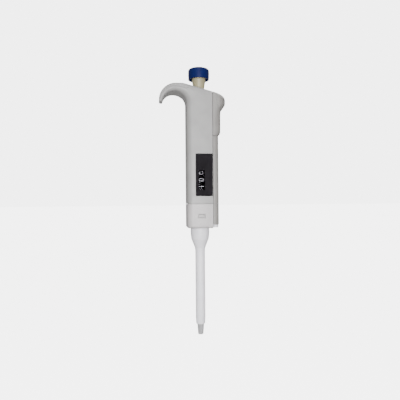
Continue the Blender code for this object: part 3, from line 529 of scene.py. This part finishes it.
# ---------------------------------------------------------------------------------------------
# Display panel: a thin black moulding glued into the handle's recess, and a clear acrylic
# window clipped into it over the number rings.
# ---------------------------------------------------------------------------------------------
panel = block(panel_low, panel_high, 0.4 * MM, axis=1, segments=4)
panel.name = "display_bezel"
opening = Vector((GAP, 2 * MM, GAP))
carve(panel, block(lens_low - opening, lens_high + opening, 0.4 * MM, axis=1))
soften(panel, 0.12 * MM, 40, 2)
BLACK = ((0.006, 0.005, 0.0065), (0.010, 0.0085, 0.011))
panel_plastic = satin_plastic("panel_plastic", *BLACK, (0.5, 0.65), 1800, 0.15, gloss=0.06)
finish_piece(panel, panel_plastic, "handle", "black_plastic", "display_panel")

lens = block(lens_low, lens_high, 0.25 * MM, segments=3)
lens.name = "window"
smooth(lens)
lens_plastic, lens_tree, lens_shader = new_material("clear_window_plastic", 0.06)
lens_shader.inputs["Transmission Weight"].default_value = 1.0
lens_shader.inputs["IOR"].default_value = 1.06
lens_tint = ramp(lens_tree, noise(lens_tree, 120), [(0.3, (0.96, 0.97, 0.98)), (0.7, (1.0, 1.0, 1.0))])
lens_tree.links.new(lens_tint, lens_shader.inputs["Base Color"])
lens_tree.links.new(spread(lens_tree, noise(lens_tree, 900), 0.02, 0.07), lens_shader.inputs["Roughness"])
finish_piece(lens, lens_plastic, "handle", "clear_plastic", "window_lens")

# ---------------------------------------------------------------------------------------------
# Number rings: three black mouldings, a rim on a thin web, that turn on one axle. White figures
# are pad-printed round each rim, ten to a ring, sideways, with their tops to the hook's side.
# ---------------------------------------------------------------------------------------------
ring_plastic = satin_plastic("ring_plastic", *BLACK, (0.45, 0.6), 1800, 0.15, gloss=0.06)
figure_paint = satin_plastic("figure_paint", (0.36, 0.35, 0.38), (0.44, 0.43, 0.46), (0.5, 0.6),
                             1500, 0.1, gloss=0.2)
RING_BORE = 2.1 * MM
RIM_INSIDE = 7.6 * MM
HALF_WEB = 0.4 * MM
FIGURE_STEP = 36
CAPITAL_HEIGHT = 0.70
FIGURE_HEIGHT = 4.3 * MM
FIGURE_BREADTH = 1.15
READING_X = (lens_low.x + lens_high.x) / 2
RINGS = (("ones", "dial", 0), ("tens", "tens", 0), ("hundreds", "hundreds", 1))


def turn(name, outline, steps=96):
    """A turned piece: an outline of (radius, height), drawn point by point and spun."""
    bpy.ops.object.select_all(action="DESELECT")
    bpy.ops.mesh.primitive_plane_add(size=MM, location=(0, 0, 0))
    piece = bpy.context.object
    piece.name = name
    bpy.ops.object.mode_set(mode="EDIT")
    bpy.ops.mesh.select_mode(type="VERT")
    bpy.ops.mesh.select_all(action="SELECT")
    bpy.ops.mesh.merge(type="CENTER")
    points = [Vector((r, 0, z)) for r, z in outline]
    bpy.ops.transform.translate(value=points[0])
    for here, there in zip(points, points[1:]):
        bpy.ops.mesh.extrude_vertices_move(TRANSFORM_OT_translate={"value": there - here})
    if outline[0][0] > 0:
        bpy.ops.mesh.extrude_vertices_move(TRANSFORM_OT_translate={"value": points[0] - points[-1]})
    bpy.ops.mesh.select_all(action="SELECT")
    bpy.ops.mesh.spin(steps=steps, angle=2 * pi, center=(0, 0, 0), axis=(0, 0, 1))
    bpy.ops.mesh.select_all(action="SELECT")
    bpy.ops.mesh.remove_doubles(threshold=1e-6)
    bpy.ops.mesh.normals_make_consistent(inside=False)
    bpy.ops.object.mode_set(mode="OBJECT")
    return piece


def fillet(corners, default=0.25 * MM, segments=4):
    """Round the corners of an outline; a corner may carry its own radius as a third value."""
    rounded = []
    count = len(corners)
    on_axis = corners[0][0] == 0
    for i, corner in enumerate(corners):
        here = Vector(corner[:2])
        radius = corner[2] if len(corner) > 2 else default
        if radius == 0 or (on_axis and i in (0, count - 1)):
            rounded.append(tuple(here))
            continue
        before = Vector(corners[i - 1][:2]) - here
        after = Vector(corners[(i + 1) % count][:2]) - here
        opening = before.angle(after)
        if opening > radians(178):
            rounded.append(tuple(here))
            continue
        trim = min(radius / max(1e-6, tan(opening / 2)), 0.45 * before.length, 0.45 * after.length)
        start, end = here + before.normalized() * trim, here + after.normalized() * trim
        for k in range(segments + 1):
            t = k / segments
            point = start * (1 - t) ** 2 + here * 2 * t * (1 - t) + end * t ** 2
            rounded.append(tuple(point))
    return rounded


def print_figure(value, radius, centre_z, angle):
    """One figure, laid sideways round a ring at an angle from the front."""
    bpy.ops.object.select_all(action="DESELECT")
    bpy.ops.object.text_add(location=(0, 0, 0))
    text = bpy.context.object
    text.data.body = str(value)
    text.data.align_x = "CENTER"
    text.data.size = 1.0
    text.data.extrude = 0.012
    text.data.offset = -0.004
    bpy.ops.object.convert(target="MESH")
    figure = bpy.context.object
    bpy.ops.object.mode_set(mode="EDIT")
    for i in range(1, 14):
        bpy.ops.mesh.select_all(action="SELECT")
        bpy.ops.mesh.bisect(plane_co=(0, i * 0.05, 0), plane_no=(0, 1, 0))
    bpy.ops.object.mode_set(mode="OBJECT")
    xs = [v.co.x for v in figure.data.vertices]
    scale = FIGURE_HEIGHT / CAPITAL_HEIGHT
    middle_x, middle_y = (min(xs) + max(xs)) / 2, CAPITAL_HEIGHT / 2
    for v in figure.data.vertices:
        up = (v.co.y - middle_y) * scale
        right = (v.co.x - middle_x) * scale * FIGURE_BREADTH
        out = v.co.z * scale
        around = angle - up / radius
        reach = radius + out * 0.6
        v.co = (reach * sin(around), -reach * cos(around), centre_z + right)
    return figure


for ring_name, body, shown in RINGS:
    low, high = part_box(f"{ring_name}_ring")
    middle = (low.z + high.z) / 2
    outer = high.x
    rim = fillet([(RIM_INSIDE, high.z), (outer, high.z), (outer, low.z), (RIM_INSIDE, low.z),
                  (RIM_INSIDE, middle - HALF_WEB), (RING_BORE, middle - HALF_WEB),
                  (RING_BORE, middle + HALF_WEB), (RIM_INSIDE, middle + HALF_WEB)])
    ring = turn(f"{ring_name}_rim", rim)
    smooth(ring)
    finish_piece(ring, ring_plastic, body, "black_plastic", f"{ring_name}_ring")
    reading_angle = asin(READING_X / outer)
    figures = [print_figure(value, outer, middle, reading_angle - radians(FIGURE_STEP * (value - shown)))
               for value in range(10)]
    pick_only(*figures)
    bpy.ops.object.join()
    printed = bpy.context.object
    printed.name = f"{ring_name}_figures"
    finish_piece(printed, figure_paint, body, "black_plastic")

# ---------------------------------------------------------------------------------------------
# Stem: a cream moulding that widens towards the button. A collar under the guide bush stops
# its rise, its thinner tail slides in the drive sleeve, and the control rod is pressed into it.
# ---------------------------------------------------------------------------------------------
stem_low, stem_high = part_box("stem")
rim_z = cap_low.z
collar = bush_low.z - 0.3 * MM
sleeve_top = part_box("drive_sleeve")[1].z
stem_outline = [(0, stem_high.z), (5.9 * MM, stem_high.z, 0.4 * MM), (6.15 * MM, rim_z + 1 * MM),
                (6.1 * MM, rim_z - 0.5 * MM), (4.95 * MM, SEAT_Z + 0.4 * MM), (4.8 * MM, SEAT_Z - 1.6 * MM),
                (4.8 * MM, collar), (6.4 * MM, collar), (6.4 * MM, collar - 1.9 * MM),
                (4.8 * MM, collar - 1.9 * MM), (4.8 * MM, sleeve_top + 7.5 * MM),
                (2.4 * MM, sleeve_top + 7.5 * MM), (2.4 * MM, stem_low.z), (0, stem_low.z)]
stem = turn("button_stem", fillet(stem_outline))
carve(stem, drum(1.5 * MM, stem_low.z - 1 * MM, stem_low.z + 12 * MM))
smooth(stem)
stem_plastic = satin_plastic("stem_plastic", (0.30, 0.270, 0.160), (0.35, 0.316, 0.195), (0.35, 0.5),
                             2200, 0.2)
finish_piece(stem, stem_plastic, "button", "cream_plastic", "stem")

# ---------------------------------------------------------------------------------------------
# Push button: a blue moulded cap, hollow underneath, with a rounded upper edge. A grey ring
# pressed into it grips the stem.
# ---------------------------------------------------------------------------------------------
radius = cap_high.x
top = cap_high.z
inner = radius - 1.5 * MM
cap_outline = [(0, top), (radius - 0.1 * MM, top, 2.0 * MM), (radius, rim_z + 4.5 * MM, 0),
               (radius - 0.15 * MM, rim_z, 0.55 * MM), (inner + 0.15 * MM, rim_z, 0.3 * MM),
               (inner, top - 1.9 * MM, 0.5 * MM), (0, top - 1.9 * MM)]
cap = turn("button_cap", fillet(cap_outline, segments=8), 128)
smooth(cap)
cap_plastic = satin_plastic("cap_plastic", (0.003, 0.007, 0.058), (0.0045, 0.010, 0.074), (0.3, 0.42),
                            1800, 0.2, gloss=0.16)
finish_piece(cap, cap_plastic, "button", "blue_plastic", "push_button_cap")
insert_low, insert_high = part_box("button_insert")
insert = turn("cap_insert", fillet([(6.5 * MM, insert_high.z), (insert_high.x, insert_high.z),
                                    (insert_high.x, insert_low.z), (6.5 * MM, insert_low.z)], 0.2 * MM))
smooth(insert)
insert_plastic = satin_plastic("insert_plastic", (0.13, 0.13, 0.14), (0.18, 0.18, 0.19))
finish_piece(insert, insert_plastic, "button", "insert_plastic", "button_insert")

# ---------------------------------------------------------------------------------------------
# Ejector bar: a long light grey channel that carries the handle's oval on behind the seam. It
# slides on the handle's guide rail and is screwed to the foot of the white sleeve.
# ---------------------------------------------------------------------------------------------
BAR_X = bar_low.x
SIDE = bar_high.y
bar_length = GRIP_RIGHT - BAR_X


def side_loop(z, length, corner, side=SIDE, start=BAR_X):
    return [(start + along, across, z) for along, across in oval(length, 0.3 * MM, corner, side, 0)]


bar = skin("ejector_rail", [side_loop(z, bar_length, bar_length - 0.6 * MM)
                            for z in (bar_low.z, bar_high.z)])
carve(bar, block((BAR_X - 1 * MM, -9.1 * MM, bar_low.z + 9.5 * MM),
                 (GRIP_RIGHT - 1.9 * MM, 9.1 * MM, bar_high.z + 1 * MM)))
screw_low, screw_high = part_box("ejector_screw")
screw_x = (screw_low.x + screw_high.x) / 2
carve(bar, drum(1.2 * MM, bar_low.z - 1 * MM, bar_low.z + 6.5 * MM, screw_x, vertices=32))
soften(bar, 0.15 * MM, 50, 2)
# The ejector's plastic is the handle's light grey, painted about a fifth darker. This is painted shade for
# the bar and the thumb button at the side that turns away from the light.
ejector_plastic_painted_shade = satin_plastic("ejector_plastic_painted_shade", (0.222, 0.214, 0.205), (0.260, 0.251, 0.241))
finish_piece(bar, ejector_plastic_painted_shade, "ejector", "light_grey_plastic", "ejector_bar")

# ---------------------------------------------------------------------------------------------
# Thumb button: the ejector's upper moulding, pushed over the bar. Six grooves run slanting round
# it for grip, and a pocket at its back holds the return spring against the handle's lug.
# ---------------------------------------------------------------------------------------------
thumb_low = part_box("ejector_button")[0]
THUMB_STEPS = ((0.0, 5.2), (0.9, 5.9), (1.9, 6.8), (3.0, 7.3), (4.2, 7.4), (12.0, 7.5), (19.8, 7.55),
               (21.8, 7.75), (23.2, 8.55), (25.1, 9.95), (26.7, 11.1), (27.9, 11.7), (29.2, 11.9),
               (42.0, 11.9))
CROWN_LINE = ((-1, 9.85), (3.9, 8.3), (7.4, 6.7), (9.2, 5.65), (10.4, 4.7), (11.2, 3.7), (11.7, 2.6),
              (11.95, 0.9), (16, 0.9), (16, 20), (-1, 20))
THUMB_CORNER = 6.2 * MM


def thumb_loops(inset):
    loops = []
    for rise, length in THUMB_STEPS:
        length = length * MM - inset
        corner = min(length - 0.6 * MM, THUMB_CORNER)
        loops.append(side_loop(thumb_low.z + rise * MM, length, corner, SIDE - inset))
    return loops


def thumb_crown(inset):
    """The body above the thumb button's sloping top, which is taken away."""
    loops = []
    for across in (-SIDE - 2 * MM, SIDE + 2 * MM):
        loops.append([(BAR_X + x * MM - inset, across, HOOK_Z + z * MM - inset) for x, z in CROWN_LINE])
    return skin("crown", loops)


thumb = skin("thumb_button", thumb_loops(0))
carve(thumb, thumb_crown(0))
GROOVE_DEPTH = 0.45 * MM
GROOVE_HALF_WIDTH = 0.42 * MM
GROOVE_PITCH = 2.0 * MM
GROOVE_SLOPE = radians(33)
FIRST_GROOVE = HOOK_Z + 6.5 * MM
core = skin("core", thumb_loops(GROOVE_DEPTH))
carve(core, thumb_crown(GROOVE_DEPTH))
hinge_x = BAR_X + 3.2 * MM
grooves = None
for k in range(6):
    height = FIRST_GROOVE - k * GROOVE_PITCH
    groove = block((hinge_x, -20 * MM, height - GROOVE_HALF_WIDTH),
                   (hinge_x + 26.8 * MM, 20 * MM, height + GROOVE_HALF_WIDTH))
    pick_only(groove)
    bpy.ops.object.mode_set(mode="EDIT")
    bpy.ops.mesh.select_all(action="SELECT")
    bpy.ops.transform.rotate(value=-GROOVE_SLOPE, orient_axis="Y", center_override=(hinge_x, 0, height))
    bpy.ops.object.mode_set(mode="OBJECT")
    if grooves is None:
        grooves = groove
    else:
        carve(grooves, groove, "UNION")
carve(grooves, core)
carve(thumb, grooves)
carve(thumb, block((BAR_X - 1 * MM, -2.8 * MM, spring_low.z - 2.8 * MM),
                   (BAR_X + 4.5 * MM, 2.8 * MM, spring_high.z + 0.3 * MM)))
soften(thumb, 0.15 * MM, 50, 2)
# The thumb button takes the ejector's darker grey, which is painted shade.
finish_piece(thumb, ejector_plastic_painted_shade, "ejector", "light_grey_plastic", "ejector_button")

# ---------------------------------------------------------------------------------------------
# Ejector sleeve: a white, slightly translucent moulding, bulb, neck and long tube. It slides on
# the tip cone, and its foot reaches under the bar, where one screw holds it.
# ---------------------------------------------------------------------------------------------
sleeve_low, sleeve_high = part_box("ejector_sleeve")
tube = 4.3 * MM
arm_low = bottom + 0.5 * MM
mouth = sleeve_low.z
outline = [(0, sleeve_high.z), (8.3 * MM, sleeve_high.z), (8.3 * MM, bottom - 0.5 * MM, 0),
           (8.4 * MM, bottom - 3 * MM, 2 * MM),
           (8.25 * MM, bottom - 6.5 * MM, 3 * MM), (7.65 * MM, bottom - 10.3 * MM, 3 * MM),
           (6.55 * MM, bottom - 13.0 * MM, 3 * MM), (5.5 * MM, bottom - 15.7 * MM, 3 * MM),
           (4.55 * MM, bottom - 18.2 * MM, 3 * MM), (tube, bottom - 21 * MM, 3 * MM),
           (tube, mouth + 5.5 * MM, 2 * MM),
           (tube - 0.35 * MM, mouth, 0.25 * MM), (0, mouth)]
sleeve = turn("tip_ejector_sleeve", fillet(outline, segments=5))
arm = block((5 * MM, -3.6 * MM, arm_low), (BAR_X + 0.5 * MM, 3.6 * MM, sleeve_high.z))
carve(sleeve, arm, "UNION")
foot = block((BAR_X, -8 * MM, arm_low), (sleeve_high.x, 8 * MM, sleeve_high.z), 2.3 * MM, axis=2,
             segments=6)
carve(sleeve, foot, "UNION")
bore = tube - 0.75 * MM
bulb_bore = 7.6 * MM
carve(sleeve, turn("bore", [(0, sleeve_high.z + 1 * MM), (bulb_bore, sleeve_high.z + 1 * MM),
                            (bulb_bore, bottom - 7.9 * MM), (bore, bottom - 18.9 * MM),
                            (bore, mouth + 3 * MM), (bore - 0.1 * MM, mouth - 1 * MM), (0, mouth - 1 * MM)]))
carve(sleeve, drum(1.2 * MM, arm_low - 1 * MM, sleeve_high.z + 1 * MM, screw_x, vertices=32))
carve(sleeve, drum(1.9 * MM, arm_low - 1 * MM, arm_low + 1.3 * MM, screw_x, vertices=32))
soften(sleeve, 0.2 * MM, 45, 3)
sleeve_plastic = satin_plastic("sleeve_plastic", (0.84, 0.83, 0.88), (0.90, 0.89, 0.94), (0.36, 0.48),
                               2200, 0.15, 0.15)
finish_piece(sleeve, sleeve_plastic, "ejector", "white_plastic", "ejector_sleeve")

# ---------------------------------------------------------------------------------------------
# Tip cone: a grey-white moulding clamped by its flange in the lower housing, with the piston's
# bore inside. Only its nozzle shows, under the sleeve's mouth, where a disposable tip goes on.
# ---------------------------------------------------------------------------------------------
cone_low, cone_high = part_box("tip_cone")
flange_z = cone_high.z - 2.0 * MM
cone_outline = [(4.9 * MM, cone_high.z), (cone_high.x, cone_high.z), (cone_high.x, flange_z),
                (7.0 * MM, flange_z), (7.0 * MM, bottom - 6.9 * MM), (3.1 * MM, bottom - 16.9 * MM),
                (3.1 * MM, mouth, 0),
                (2.6 * MM, cone_low.z + 3.2 * MM, 0.6 * MM), (2.35 * MM, cone_low.z, 0.25 * MM),
                (0.55 * MM, cone_low.z, 0.1 * MM), (0.55 * MM, bottom - 14.9 * MM),
                (2.8 * MM, bottom - 14.9 * MM), (2.8 * MM, cone_high.z - 4 * MM),
                (4.9 * MM, cone_high.z - 4 * MM)]
cone = turn("nozzle_cone", fillet(cone_outline, 0.15 * MM))
smooth(cone)
cone_plastic = satin_plastic("nozzle_plastic", (0.34, 0.34, 0.35), (0.40, 0.40, 0.41), (0.3, 0.4),
                             2200, 0.15, 0.1)
finish_piece(cone, cone_plastic, "handle", "nozzle_plastic", "tip_cone")

# ---------------------------------------------------------------------------------------------
# Inner pieces: the CAD solids keep their shape and take a finish each, turned steel and brass,
# natural nylon and black rubber.
# ---------------------------------------------------------------------------------------------


def turned_metal(name, dark, light, roughness):
    """Metal with the fine rings that a lathe leaves, across the pipette's axis."""
    material, tree, shader = new_material(name)
    shader.inputs["Metallic"].default_value = 1.0
    rings = noise(tree, 500, 3, (0.05, 0.05, 6))
    tree.links.new(ramp(tree, rings, [(0.3, dark), (0.7, light)]), shader.inputs["Base Color"])
    tree.links.new(spread(tree, noise(tree, 300), *roughness), shader.inputs["Roughness"])
    roughen(tree, shader, rings, 0.2, 0.00003)
    return material


steel = turned_metal("turned_steel", (0.48, 0.48, 0.50), (0.62, 0.62, 0.64), (0.2, 0.35))
brass = turned_metal("turned_brass", (0.60, 0.43, 0.17), (0.74, 0.56, 0.26), (0.22, 0.36))
nylon = satin_plastic("natural_nylon", (0.66, 0.64, 0.58), (0.74, 0.72, 0.66))
rubber = satin_plastic("black_rubber", (0.02, 0.02, 0.02), (0.035, 0.035, 0.035), (0.65, 0.85), 1500,
                       0.4)
FINISHES = {"steel": steel, "brass": brass, "nylon": nylon, "rubber": rubber,
            "black_plastic": ring_plastic}
slots = {part["node"]: part["material_slot"] for part in frame["record"]["subparts"]}
for node, obj in frame["nodes"].items():
    if slots[node] in FINISHES:
        wear_material(obj, FINISHES[slots[node]])
